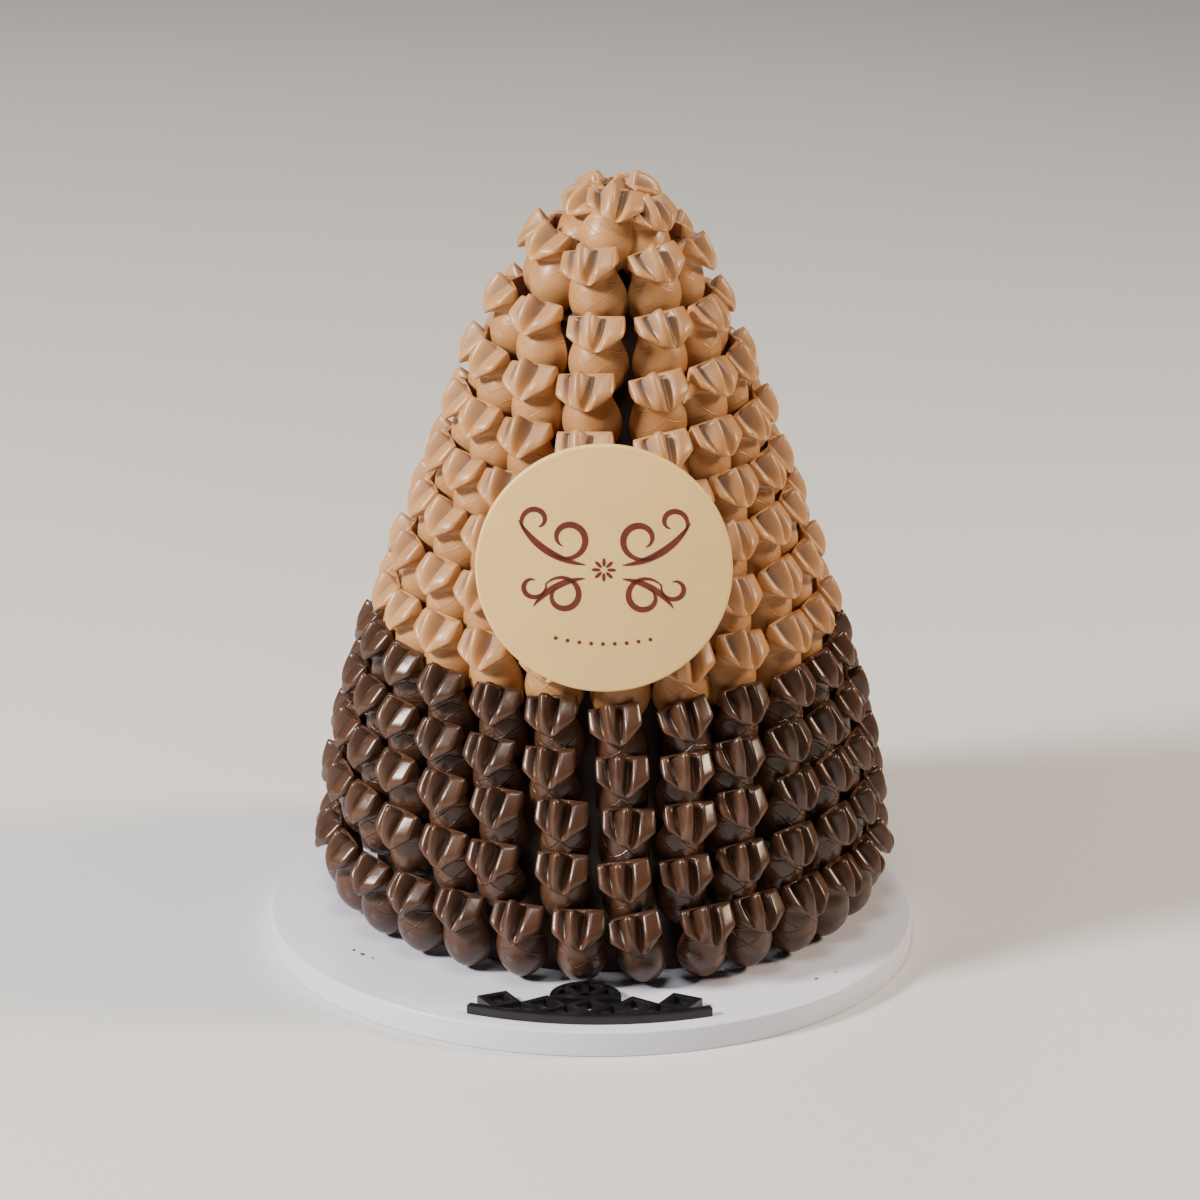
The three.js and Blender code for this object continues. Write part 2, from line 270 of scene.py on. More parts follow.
def praline_place(row, k):
    """The matrix from a praline's own millimetres to metres in the frame."""
    radius, height = foot_of(row)
    angle, rise, lean, roll = setting_of(row, k)
    return (
        Matrix.Scale(MM, 4)
        @ Matrix.Translation((TOWER_X, TOWER_Y, BOARD_THICKNESS))
        @ Matrix.Rotation(math.radians(angle), 4, "Z")
        @ Matrix.Translation((0, -radius, height + rise))
        @ Matrix.Rotation(math.radians(lean), 4, "X")
        @ Matrix.Translation((0, 0, ROLL_UP))
        @ Matrix.Rotation(math.radians(roll), 4, "Y")
        @ Matrix.Translation((0, 0, -ROLL_UP))
    )


for row in range(len(ROWS)):
    print("row", row + 1, "leans", round(lean_of(row), 1), "degrees")

# %% [markdown]
# ## One praline
# A praline is cast in a flat-backed mould: an egg-shaped fruit below, a
# narrow neck, and a crown of two leaves that lap over each other at the
# bottom, with a rounded ridge standing between two folds. It could be built
# from a ball, a neck and two leaves, but their joints would show, and the real
# one is a single casting. So one grid of few faces is laid over the form
# station by station, from the nose up to the crown's tips, its back is bridged
# flat, and a Subdivision modifier rounds it later. Creases keep the mould's
# edges and the folds crisp. The crown is drawn deeper than it looks on the
# real one, because the modifier halves a fold that is one column wide.

# %% The stations, in millimetres
COLUMNS = 11
# up, half width and depth of the fruit and the neck
FRUIT_STATIONS = [
    (0.1, 4.0, 5.0),
    (4.4, 10.4, 10.6),
    (13.0, 14.0, 14.6),
    (21.6, 12.8, 12.6),
]
NECK_STATION = (27.6, 9.4, 8.4)
# The crown's nine front columns, left to right: across, up and depth. The
# left leaf, its fold, the ridge, the right fold and the right leaf follow one
# another, and the right leaf laps over the left one at the bottom.
CROWN_RIM = [
    (-13.2, 31.6, 9.8), (-9.4, 29.4, 12.4), (-5.8, 27.6, 13.8), (-4.2, 27.0, 14.4),
    (-2.2, 26.5, 15.0), (-0.4, 26.1, 15.6), (0.8, 25.9, 16.0), (3.8, 26.5, 15.8),
    (13.2, 31.8, 10.2),
]
CROWN_LIP = [
    (-13.4, 33.2, 9.6), (-9.6, 32.6, 12.6), (-6.8, 31.2, 11.8), (-5.4, 31.2, 13.4),
    (-2.4, 31.8, 15.6), (0.4, 30.6, 13.2), (2.0, 29.4, 9.8), (4.6, 32.4, 15.8),
    (13.4, 33.4, 10.0),
]
CROWN_MIDDLE = [
    (-13.3, 35.6, 5.6), (-9.8, 35.8, 8.2), (-7.2, 33.8, 3.6), (-5.8, 35.8, 10.4),
    (-2.6, 38.0, 13.6), (0.6, 35.8, 10.2), (2.8, 32.4, 2.2), (5.2, 36.6, 10.2),
    (13.3, 36.0, 6.0),
]
CROWN_TOP = [
    (-12.8, 38.6, 1.6), (-9.6, 39.4, 2.4), (-7.4, 36.2, 0.8), (-5.8, 41.0, 4.4),
    (-2.6, 45.0, 6.6), (0.8, 41.0, 3.8), (3.1, 34.8, 0.7), (5.6, 40.0, 3.4),
    (12.8, 39.0, 1.8),
]
CAP_MIDDLE = (0, -0.3, 37.6)
UNDER_INSET = 4.4  # how far behind their rim the leaves' under side starts
UNDER_SHARE = 0.9  # and its share of the rim's width
UNDER_RISE = 0.8  # and how far above the rim it starts
print("fruit", FRUIT_STATIONS[2][1] * 2, "mm wide, crown", CROWN_RIM[-1][0] * 2, "mm wide")


# %% Stations as points
def round_station(up, half_width, depth):
    """A half round from the left back corner over the front to the right one."""
    points = []
    for i in range(COLUMNS):
        t = math.pi * i / (COLUMNS - 1)
        points.append((-half_width * math.cos(t), up, depth * math.sin(t)))
    return points


def crown_station(front, crown_width):
    """Nine front points with a back corner at either end."""
    front = [(across * crown_width, up, depth) for across, up, depth in front]
    left, right = front[0], front[-1]
    return [(left[0], left[1], 0), *front, (right[0], right[1], 0)]


def praline_stations(body_width, crown_width):
    """Every station's points, from the nose up to the crown's tips."""
    lower = [*FRUIT_STATIONS, NECK_STATION]
    rows = [round_station(up, half * body_width, depth) for up, half, depth in lower]
    under = [
        (across * UNDER_SHARE, up + UNDER_RISE, depth - UNDER_INSET)
        for across, up, depth in CROWN_RIM
    ]
    crown = (under, CROWN_RIM, CROWN_LIP, CROWN_MIDDLE, CROWN_TOP)
    rows.extend(crown_station(front, crown_width) for front in crown)
    return rows


print("stations:", len(praline_stations(1, 1)))

# %% The cage
RIM_ROW = 6
FOLD_SHADE_FROM_ROW = 8  # the folds get painted shade from this station up
FOLD_SHADE_COLUMNS = (3, 7)
CREASED_COLUMNS = (3, 8)  # the left fold, and the right leaf's edge at its fold
BACK = 1  # the back's place in a praline's list of materials
BESIDE_FOLD_SHADE = 0.35  # how much of a fold's painted shade the columns beside it take
BACK_CREASE = 0.85
TIP_CREASE = 0.55
RIM_CREASE = 0.3
LEAF_END_CREASE = 0.55


def edges_along(points):
    """The edges that join each point to the next."""
    pairs = zip(points, points[1:])
    return [edge for a, b in pairs for edge in a.link_edges if b in edge.verts]


def column_edges(grid, columns, rows):
    """The grid's edges up the given columns, between the given rows."""
    found = []
    for column in columns:
        found += edges_along([grid[row * COLUMNS + column] for row in rows])
    return found


def row_edges(grid, row):
    return edges_along(grid[row * COLUMNS:(row + 1) * COLUMNS])


def praline_cage(name, body_width, crown_width, fold_crease):
    """A closed cage of one praline, in its own millimetres, front facing -Y."""
    stations = praline_stations(body_width, crown_width)
    last = len(stations) - 1
    bm = bmesh.new()
    crease = bm.edges.layers.float.new("crease_edge")
    inside = bm.verts.layers.float_vector.new("in_praline")
    fold_shade = bm.verts.layers.float.new("fold_shade")
    bmesh.ops.create_grid(bm, x_segments=COLUMNS - 1, y_segments=last, size=0.5)
    grid = sorted(bm.verts, key=lambda v: (round(v.co.y, 3), round(v.co.x, 3)))
    for i, vert in enumerate(grid):
        across, up, depth = stations[i // COLUMNS][i % COLUMNS]
        vert.co = (across, -depth, up)
    whole = range(last + 1)
    sides = column_edges(grid, (0, COLUMNS - 1), whole)
    back = bmesh.ops.bridge_loops(bm, edges=sides)["faces"]
    holes = bmesh.ops.holes_fill(bm, edges=bm.edges, sides=0)["faces"]
    cap = max(holes, key=lambda face: face.calc_center_median().z)
    middle = bmesh.ops.poke(bm, faces=[cap])["verts"][0]
    middle.co = CAP_MIDDLE
    bmesh.ops.recalc_face_normals(bm, faces=bm.faces)
    for face in back:
        face.material_index = BACK
    crown = range(RIM_ROW, last + 1)
    for edges, amount in (
        (column_edges(grid, (0, COLUMNS - 1), whole), BACK_CREASE),
        (row_edges(grid, last), TIP_CREASE),
        (row_edges(grid, RIM_ROW), RIM_CREASE),
        (column_edges(grid, (1, COLUMNS - 2), crown), LEAF_END_CREASE),
        (column_edges(grid, CREASED_COLUMNS, crown), fold_crease),
    ):
        for edge in edges:
            edge[crease] = amount
    for vert in bm.verts:
        vert[inside] = vert.co
    # mark the folds, and softly the columns beside them, for painted shade
    for row in range(FOLD_SHADE_FROM_ROW, last + 1):
        for column in FOLD_SHADE_COLUMNS:
            grid[row * COLUMNS + column][fold_shade] = 1.0
            for beside in (column - 1, column + 1):
                grid[row * COLUMNS + beside][fold_shade] = BESIDE_FOLD_SHADE
    mesh = bpy.data.meshes.new(name)
    bm.to_mesh(mesh)
    bm.free()
    print(name, len(mesh.vertices), "points,", len(mesh.polygons), "faces")
    return mesh


milk_cage = praline_cage("milk_cage", body_width=0.9, crown_width=0.89, fold_crease=0.7)
blond_cage = praline_cage("blond_cage", body_width=1.04, crown_width=0.97, fold_crease=0.3)

# %% [markdown]
# ## The chocolates
# Moulded chocolate is glossy where it touched the mould. Its colour isn't
# even: the cocoa butter clouds it a little, and fine lines of the fruit's lattice
# stand up below the neck and are worn away here and there. The folds of the
# crowns carry painted shade, with a cool grey painted reflection on the blond
# leaves. A painted picture would need a new one for every praline. So all
# of that is worked out from each praline's own coordinates, which the cage
# carries as an attribute, and the lattice sits on every praline in the same way.

# %% The lattice on the fruit
LATTICE_PITCH = 6.4
LATTICE_ANGLE = 33
LATTICE_LINE = 0.055  # half a line's width, as a share of the pitch
LATTICE_WANDER = 2.2  # how far the lines stray from straight, in millimetres
LATTICE_FROM = (8.0, 23.0)  # millimetres up, between which the lines grow clear
LATTICE_TO = (28.0, 26.5)  # millimetres up, gone at the first, whole at the second
LATTICE_WORN = (0.36, 0.58)  # between these noise values a line comes back
WEAR_SCALE = 45.0
HALF_GREY = (0.5, 0.5, 0.5)


def ramp(tree, value, ends, smooth=False):
    """0 at the first end, 1 at the second."""
    return add_node(
        tree, "ShaderNodeMapRange",
        {"Value": value, "From Min": ends[0], "From Max": ends[1]},
        interpolation_type="SMOOTHSTEP" if smooth else "LINEAR",
    ).outputs[0]


def lattice_lines(tree, inside, angle):
    """1 on the lines of one direction, falling to 0 away from them."""
    direction = (math.cos(angle) / LATTICE_PITCH, 0, math.sin(angle) / LATTICE_PITCH)
    along = add_node(
        tree, "ShaderNodeVectorMath", {0: inside, 1: direction}, operation="DOT_PRODUCT"
    )
    wave = combine(tree, "PINGPONG", along.outputs["Value"], 0.5)
    return ramp(tree, wave, (LATTICE_LINE, 0.0), smooth=True)


def strayed(tree, inside, drift):
    """The praline's coordinates, pushed about by a slow noise."""
    centred = add_node(
        tree, "ShaderNodeVectorMath", {0: drift, 1: HALF_GREY}, operation="SUBTRACT"
    )
    wander = add_node(
        tree, "ShaderNodeVectorMath", {0: centred.outputs[0], "Scale": 2 * LATTICE_WANDER},
        operation="SCALE",
    )
    return add_node(
        tree, "ShaderNodeVectorMath", {0: inside, 1: wander.outputs[0]}, operation="ADD"
    ).outputs[0]


def lattice_relief(tree, inside, place):
    """1 on the fine raised lines that cross below the neck, 0 on plain chocolate."""
    drift = noise(tree, place, WEAR_SCALE, 1.0)
    bent = strayed(tree, inside, drift.outputs["Color"])
    one = lattice_lines(tree, bent, math.radians(90 - LATTICE_ANGLE))
    other = lattice_lines(tree, bent, math.radians(90 + LATTICE_ANGLE))
    lines = combine(tree, "MAXIMUM", one, other)
    up = add_node(tree, "ShaderNodeSeparateXYZ", {0: inside}).outputs["Z"]
    where = combine(
        tree, "MULTIPLY", ramp(tree, up, LATTICE_FROM), ramp(tree, up, LATTICE_TO)
    )
    worn = ramp(tree, drift.outputs["Fac"], LATTICE_WORN, smooth=True)
    return combine(tree, "MULTIPLY", combine(tree, "MULTIPLY", lines, where), worn)


print("lattice every", LATTICE_PITCH, "mm")


# %% The chocolate material
CLOUD_SCALE = 55.0
CLOUD_RANGE = (0.15, 1.0)
GRAIN_SCALE = 260.0
GRAIN_HEIGHT = 0.12  # as a share of the relief's height
RELIEF_HEIGHT = 0.001
RELIEF_STRENGTH = 0.9


def chocolate(name, pale, deep, fold_shade_colour, fold_shade_share, line_height, **constants):
    """Clouded chocolate with a worn lattice of raised lines and painted shade in the folds.
    """
    material, tree, shader = new_material(name, **constants)
    inside = add_node(
        tree, "ShaderNodeAttribute", attribute_name="in_praline"
    ).outputs["Vector"]
    fold_shade = add_node(tree, "ShaderNodeAttribute", attribute_name="fold_shade").outputs["Fac"]
    tint = add_node(tree, "ShaderNodeAttribute", attribute_name="tint").outputs["Fac"]
    place = object_place(tree)
    cloud = noise(tree, place, CLOUD_SCALE, 4.0).outputs["Fac"]
    depth = combine(tree, "ADD", cloud, tint)
    body = blend(tree, ramp(tree, depth, CLOUD_RANGE), pale, deep)
    # painted shade in the folds, a cool grey painted reflection on the blond ones, mixed
    # into the colour
    fold_shade_amount = combine(tree, "MULTIPLY", fold_shade, fold_shade_share, use_clamp=True)
    body_with_fold_shade = blend(tree, fold_shade_amount, body, fold_shade_colour)
    tree.links.new(body_with_fold_shade, shader.inputs["Base Color"])
    lattice = lattice_relief(tree, inside, place)
    raised = combine(tree, "MULTIPLY", lattice, line_height)
    grain = noise(tree, place, GRAIN_SCALE, 4.0).outputs["Fac"]
    uneven = combine(tree, "MULTIPLY", grain, GRAIN_HEIGHT)
    bump = add_node(
        tree, "ShaderNodeBump",
        {
            "Height": combine(tree, "ADD", uneven, raised),
            "Distance": RELIEF_HEIGHT, "Strength": RELIEF_STRENGTH,
        },
    )
    tree.links.new(bump.outputs["Normal"], shader.inputs["Normal"])
    print(name, "has", len(tree.nodes), "nodes")
    return material


# the third colour is the painted shade in the milk crowns' folds
milk_chocolate = chocolate(
    "milk_chocolate", srgb(86, 56, 39), srgb(52, 32, 21), srgb(34, 22, 16),
    fold_shade_share=0.6, line_height=0.45,
    Roughness=0.3, Subsurface_Weight=0.02, Subsurface_Scale=0.002,
)
# the third colour is painted shade with a cool grey painted reflection, for the blond
# crowns' folds
blond_chocolate = chocolate(
    "blond_chocolate", srgb(194, 143, 92), srgb(158, 106, 58), srgb(118, 108, 103),
    fold_shade_share=0.8, line_height=0.22,
    Roughness=0.37, Subsurface_Weight=0.08, Subsurface_Scale=0.003,
)
brown_back, _, _ = new_material(
    "praline_back", Base_Color=srgb(116, 68, 46), Roughness=0.5
)

# %% [markdown]
# ## The rows of pralines
# A row is one mesh: the cage is copied in once for each praline, its leaves
# and ridge are bent a little so that no two are alike, and it is moved to its
# place. Linked copies of one praline would be lighter, but all alike. The
# Subdivision modifier then rounds the whole row at once.

# %% Casting one row
LEAF_PLAY = 0.9  # how far a leaf's tip strays in height, in millimetres
CAST_PLAY = 0.14  # unevenness of every point
BEND_FROM, BEND_OVER = 28.0, 14.0  # the bend starts this far up and grows over this
LEFT_LEAF_END, RIGHT_LEAF_START = -4.5, 4.0
TINT_PLAY = (-0.12, 0.16)  # how much paler or deeper one praline may be
ROW_SEED = 100
SMOOTH_LEVELS = 2


def bend_crown(verts, rng):
    """Lift or lower the left leaf, the ridge and the right leaf of one praline."""
    lifts = [rng.uniform(-LEAF_PLAY, LEAF_PLAY) for _ in range(3)]
    for vert in verts:
        across, up = vert.co.x, vert.co.z
        share = max(0.0, (up - BEND_FROM) / BEND_OVER)
        part = 0 if across < LEFT_LEAF_END else (2 if across > RIGHT_LEAF_START else 1)
        vert.co.z += lifts[part] * share
        vert.co += Vector(rng.uniform(-CAST_PLAY, CAST_PLAY) for _ in range(3))


def praline_row(row):
    """All the pralines of one row as one rounded piece."""
    is_milk = row < MILK_ROWS
    cage = milk_cage if is_milk else blond_cage
    rng = random.Random(ROW_SEED + row)
    bm = bmesh.new()
    tint = bm.verts.layers.float.new("tint")
    for k in range(ROWS[row][0]):
        before = len(bm.verts)
        bm.from_mesh(cage)
        bm.verts.ensure_lookup_table()
        verts = bm.verts[before:]
        bend_crown(verts, rng)
        own = rng.uniform(*TINT_PLAY)
        for vert in verts:
            vert[tint] = own
        bmesh.ops.transform(bm, matrix=praline_place(row, k), verts=verts)
    kind = "milk" if is_milk else "blond"
    front = milk_chocolate if is_milk else blond_chocolate
    piece = finish_piece(
        bm, f"pralines_{row + 1:02d}_{kind}", [front, brown_back],
        [f"row_{row + 1:02d}_{kind}"], sharp_angle=180,
    )
    smooth = piece.modifiers.new("cast", "SUBSURF")
    smooth.levels = smooth.render_levels = SMOOTH_LEVELS


for row in range(len(ROWS)):
    praline_row(row)

# %% [markdown]
# ## The cone inside
# The pralines are stuck on a cone covered in dark chocolate. It shows only as
# a dark surface in the gaps. A plain cone would be enough on a straight-sided
# pyramid, but this one curves in at the point, so a profile that follows the
# rows' feet is spun once round the axis.

# %% The cone's profile and its spin
CONE_OUT = 1.5  # mm in front of the pralines' feet
CONE_TIP = 22.0  # mm above the top row's feet
CONE_STEPS = 96
CONE_LIFT = 0.4  # mm above the board
CONE_FOOT_IN = 8.0  # mm behind the bottom row's feet
CONE_TIP_RADIUS, CONE_TIP_ROUNDING = 6.0, 2

dark_chocolate, *_ = mottled_material(
    "dark_chocolate", 60.0, 5.0, srgb(30, 18, 13), srgb(56, 35, 25), Roughness=0.42
)


def spun(profile, steps, centre):
    """A closed body spun from (radius, height) points, in metres, upright."""
    bm = bmesh.new()
    verts = [bm.verts.new((radius, 0, height)) for radius, height in profile]
    edges = [bm.edges.new(pair) for pair in zip(verts, verts[1:])]
    bmesh.ops.spin(
        bm, geom=verts + edges, axis=(0, 0, 1), cent=(0, 0, 0), steps=steps,
        angle=2 * math.pi, use_merge=True, use_duplicate=False,
    )
    bmesh.ops.remove_doubles(bm, verts=bm.verts, dist=1e-6)
    bmesh.ops.translate(bm, vec=centre, verts=bm.verts)
    return bm


feet = [foot_of(row) for row in range(len(ROWS))]
tip = feet[-1][1] + CONE_TIP
profile = [(0.0, CONE_LIFT), (feet[0][0] - CONE_FOOT_IN, CONE_LIFT)]
profile += [(radius + CONE_OUT, height) for radius, height in feet[1:]]
profile += [(CONE_TIP_RADIUS, tip), (0.0, tip + CONE_TIP_ROUNDING)]
finish_piece(
    spun([(r * MM, z * MM) for r, z in profile], CONE_STEPS,
         (TOWER_X * MM, TOWER_Y * MM, BOARD_THICKNESS * MM)),
    "inner_cone", [dark_chocolate],
)

# %% [markdown]
# ## The board
# A cake board is a stiff disc wrapped in glossy white film, so its upper edge
# is softly rounded. A cylinder with a bevelled rim gives that.

# %% The white board
BOARD_RADIUS = 150.0
BOARD_EDGE = 1.2
BOARD_SEGMENTS = 160
NEAR_TOP = 0.9  # points above this share of a disc's thickness are its top rim

board_white, *_ = mottled_material(
    "board_white", 9.0, 3.0, srgb(206, 206, 220), srgb(218, 218, 232), Roughness=0.32
)


def disc(radius, thickness, edge, segments):
    """A flat disc on z = 0, in metres, with its upper rim rounded."""
    bm = bmesh.new()
    bmesh.ops.create_cone(
        bm, cap_ends=True, segments=segments,
        radius1=radius, radius2=radius, depth=thickness,
    )
    bmesh.ops.translate(bm, vec=(0, 0, thickness / 2), verts=bm.verts)
    rim = [e for e in bm.edges if all(v.co.z > thickness * NEAR_TOP for v in e.verts)]
    bmesh.ops.bevel(
        bm, geom=rim, offset=edge, segments=4, profile=0.5, affect="EDGES", material=-1
    )
    return bm


finish_piece(
    disc(BOARD_RADIUS * MM, BOARD_THICKNESS * MM, BOARD_EDGE * MM, BOARD_SEGMENTS),
    "cake_board", [board_white], ["board"],
)

# %% [markdown]
# ## The plaque
# The plaque is a disc of white chocolate, poured in a round mould: flat, with
# a rounded rim that catches the light. It is the board's disc again, smaller
# and nearly upright. It stands where its solid does, which is a little clear
# of the pralines: nothing here holds it.

# %% The white-chocolate plaque
PLAQUE_RADIUS = 56.4
PLAQUE_THICKNESS = 3.0
PLAQUE_TURN = -0.8
PLAQUE_LEAN_BACK = 1.5
PLAQUE_HEIGHT = 193.0
PLAQUE_DISTANCE = 108.5
PLAQUE_EDGE = 1.1
PLAQUE_SEGMENTS = 128
POUR_HEIGHT, POUR_STRENGTH = 0.0002, 0.4

plaque_place = (
    Matrix.Translation((TOWER_X * MM, TOWER_Y * MM, BOARD_THICKNESS * MM))
    @ Matrix.Rotation(math.radians(PLAQUE_TURN), 4, "Z")
    @ Matrix.Translation((0, -PLAQUE_DISTANCE * MM, PLAQUE_HEIGHT * MM))
    @ Matrix.Rotation(math.radians(90 - PLAQUE_LEAN_BACK), 4, "X")
)
white_chocolate, tree, shader, mottle = mottled_material(
    "white_chocolate", 34.0, 5.0, srgb(224, 184, 112), srgb(236, 200, 128),
    Roughness=0.4, Subsurface_Weight=0.1, Subsurface_Scale=0.003,
)
pour = add_node(
    tree, "ShaderNodeBump",
    {"Height": mottle, "Distance": POUR_HEIGHT, "Strength": POUR_STRENGTH},
)
tree.links.new(pour.outputs["Normal"], shader.inputs["Normal"])
bm = disc(PLAQUE_RADIUS * MM, PLAQUE_THICKNESS * MM, PLAQUE_EDGE * MM, PLAQUE_SEGMENTS)
bmesh.ops.transform(bm, matrix=plaque_place, verts=bm.verts)
finish_piece(bm, "white_plaque", [white_chocolate], ["plaque"])

# %% [markdown]
# ## The print on the plaque
# A flourish in dark red food colour fills the plaque: six sweeping strokes,
# mirrored, round a small rosette, with a row of dots below. A curve with a
# bevel would make round wires, so each stroke is a short edge that is extruded
# along its path, wider in the middle and thin at its ends, as a pen draws it.

# %% Drawing a stroke
PRINT_RISE = 0.12
STROKE_TIP = 0.12  # half the width of a stroke's ends
STROKE_FULLNESS = 0.8  # below 1, a stroke widens quickly from its ends

plaque_print, *_ = mottled_material(
    "plaque_print", 300.0, 2.0, srgb(78, 18, 8), srgb(112, 38, 20), Roughness=0.5
)


def pen_stroke(bm, path, width):
    """Extrude a short edge along a path in the plaque's plane, tapered at both ends."""
    steps = len(path) - 1
    last = None
    for i, point in enumerate(path):
        here = Vector((*point, 0))
        ahead = Vector((*path[min(i + 1, steps)], 0)) - Vector((*path[max(i - 1, 0)], 0))
        side = Vector((-ahead.y, ahead.x, 0)).normalized()
        swell = abs(math.sin(math.pi * i / steps)) ** STROKE_FULLNESS
        half = STROKE_TIP + width / 2 * swell
        if last is None:
            ends = [bm.verts.new(here - side * half), bm.verts.new(here + side * half)]
            last = bm.edges.new(ends)
            continue
        grown = bmesh.ops.extrude_edge_only(bm, edges=[last])["geom"]
        last = next(g for g in grown if isinstance(g, bmesh.types.BMEdge))
        ends = sorted(last.verts, key=lambda v: (v.co - ends[0].co).length)
        ends[0].co = here - side * half
        ends[1].co = here + side * half


def arc_path(centre, radius, start, end, steps, grow):
    """Points round a centre, spiralling outwards by `grow`."""
    points = []
    x, y = centre
    for i in range(steps + 1):
        t = i / steps
        angle = math.radians(start + (end - start) * t)
        reach = radius + grow * t
        points.append((x + reach * math.cos(angle), y + reach * math.sin(angle)))
    return points


print("a stroke's tip is", 2 * STROKE_TIP, "mm wide")

# %% The flourish
# centre, radius, start, end, steps and growth of each arc, then its width
STROKES = [
    ((16, 14), 4, -60, 330, 26, 6, 2.7),
    ((30, 22), 3, 250, -60, 22, 4, 2.2),
    ((4, 40), 38, -84, -28, 20, 0, 3.0),
    ((18, -12), 4, 60, -330, 26, 5, 2.5),
    ((31, -8), 3, 110, -200, 22, 3, 2.0),
    ((6, -34), 30, 86, 34, 20, 0, 2.7),
]
ROUND_SEGMENTS = 12
PETALS, PETAL_SHAPE, PETAL_OUT = 8, (0.8, 2.0, 1), 3.4
DOTS_BESIDE, DOT_RADIUS, DOT_PITCH = 4, 0.9, 5.2
DOTS_DOWN, DOTS_CURVE = -34, 0.15
PRINT_LIFT = 0.01  # mm off the plaque, so that the two faces don't meet

bm = bmesh.new()
for *arc, width in STROKES:
    pen_stroke(bm, arc_path(*arc), width)
copy = bmesh.ops.duplicate(bm, geom=bm.verts[:] + bm.edges[:] + bm.faces[:])["geom"]
mirrored = [g for g in copy if isinstance(g, bmesh.types.BMVert)]
bmesh.ops.scale(bm, vec=(-1, 1, 1), verts=mirrored)
for i in range(PETALS):
    turn = Matrix.Rotation(2 * math.pi * i / PETALS, 4, "Z")
    petal = bmesh.ops.create_circle(
        bm, cap_ends=True, segments=ROUND_SEGMENTS, radius=1.0
    )["verts"]
    bmesh.ops.scale(bm, vec=PETAL_SHAPE, verts=petal)
    bmesh.ops.translate(bm, vec=(0, PETAL_OUT, 0), verts=petal)
    bmesh.ops.transform(bm, matrix=turn, verts=petal)
for i in range(-DOTS_BESIDE, DOTS_BESIDE + 1):
    dot = bmesh.ops.create_circle(
        bm, cap_ends=True, segments=ROUND_SEGMENTS, radius=DOT_RADIUS
    )["verts"]
    height = DOTS_DOWN + DOTS_CURVE * i * i
    bmesh.ops.translate(bm, vec=(i * DOT_PITCH, height, 0), verts=dot)
for face in bm.faces:
    if face.normal.z < 0:
        face.normal_flip()
bmesh.ops.solidify(bm, geom=bm.faces[:], thickness=-PRINT_RISE)
bmesh.ops.translate(bm, vec=(0, 0, PLAQUE_THICKNESS + PRINT_LIFT), verts=bm.verts)
bmesh.ops.scale(bm, vec=(MM, MM, MM), verts=bm.verts)
bmesh.ops.transform(bm, matrix=plaque_place, verts=bm.verts)
finish_piece(bm, "plaque_flourish", [plaque_print])

# %% [markdown]
# ## The ornament on the board
# A flat black ornament follows the board's front rim: a curved strip,
# openwork lozenges behind it and a half-round fan in the middle. On the real
# board such a thing is cut from one sheet. So the flat shapes are drawn first,
# and then all are thickened and bevelled together.

# %% The ornament's measures
ORNAMENT_THICKNESS = 4.2
STRIP_INNER, STRIP_OUTER, STRIP_HALF_ANGLE = 138.5, 142.0, 22.5
LOZENGE_COUNT, LOZENGE_PITCH, LOZENGE_RADIUS = 5, 9.0, 130.0
LOZENGE_HALF_WIDTH, LOZENGE_HALF_DEPTH, LOZENGE_OPENING = 10.4, 9.6, 0.58
FAN_X, FAN_BACK, FAN_RADIUS, FAN_INNER = -2.0, 119.0, 16.0, 12.6
FAN_BAR, FAN_SPREAD = 3.0, 45
STRIP_STEPS, FAN_STEPS = 36, 28
ORNAMENT_BEVEL = 0.35
ORNAMENT_LIFT = 0.05  # mm off the board
SHARP_EDGE = 1  # radians: only edges that turn further are bevelled

ornament_black, *_ = mottled_material(
    "ornament_black", 120.0, 3.0, srgb(14, 14, 16), srgb(30, 29, 31), Roughness=0.28
)
print("the ornament is", ORNAMENT_THICKNESS, "mm thick")


# %% Cutting the ornament's shapes
def turn_about_middle(bm, verts, degrees):
    """Turn points in the board's plane, about the origin."""
    matrix = Matrix.Rotation(math.radians(degrees), 3, "Z")
    bmesh.ops.rotate(bm, cent=(0, 0, 0), matrix=matrix, verts=verts)


def ring_sheet(bm, inner, outer, start, end, steps):
    """A flat ring sector, from an edge spun about the origin."""
    ends = [bm.verts.new((0, -radius, 0)) for radius in (inner, outer)]
    edge = bm.edges.new(ends)
    turn_about_middle(bm, ends, start)
    bmesh.ops.spin(
        bm, geom=ends + [edge], axis=(0, 0, 1), cent=(0, 0, 0), steps=steps,
        angle=math.radians(end - start), use_merge=False, use_duplicate=False,
    )


def lozenge_sheet(bm):
    """A square ring turned on its corner and stretched, with an inset opening."""
    verts = bmesh.ops.create_circle(bm, cap_ends=True, segments=4, radius=1)["verts"]
    face = verts[0].link_faces[0]
    bmesh.ops.scale(bm, vec=(LOZENGE_HALF_WIDTH, LOZENGE_HALF_DEPTH, 1), verts=verts)
    side = math.hypot(LOZENGE_HALF_WIDTH, LOZENGE_HALF_DEPTH)
    frame_width = (1 - LOZENGE_OPENING) * LOZENGE_HALF_WIDTH * LOZENGE_HALF_DEPTH / side
    ring = bmesh.ops.inset_region(
        bm, faces=[face], thickness=frame_width, use_boundary=True, use_even_offset=True
    )["faces"]
    bmesh.ops.delete(bm, geom=[face], context="FACES")
    return list({v for f in ring for v in f.verts})


def bar_sheet(bm, half_width, start, end):
    """A flat bar along Y."""
    verts = bmesh.ops.create_grid(bm, x_segments=1, y_segments=1, size=1)["verts"]
    bmesh.ops.scale(bm, vec=(half_width, (end - start) / 2, 1), verts=verts)
    bmesh.ops.translate(bm, vec=(0, (end + start) / 2, 0), verts=verts)
    return verts


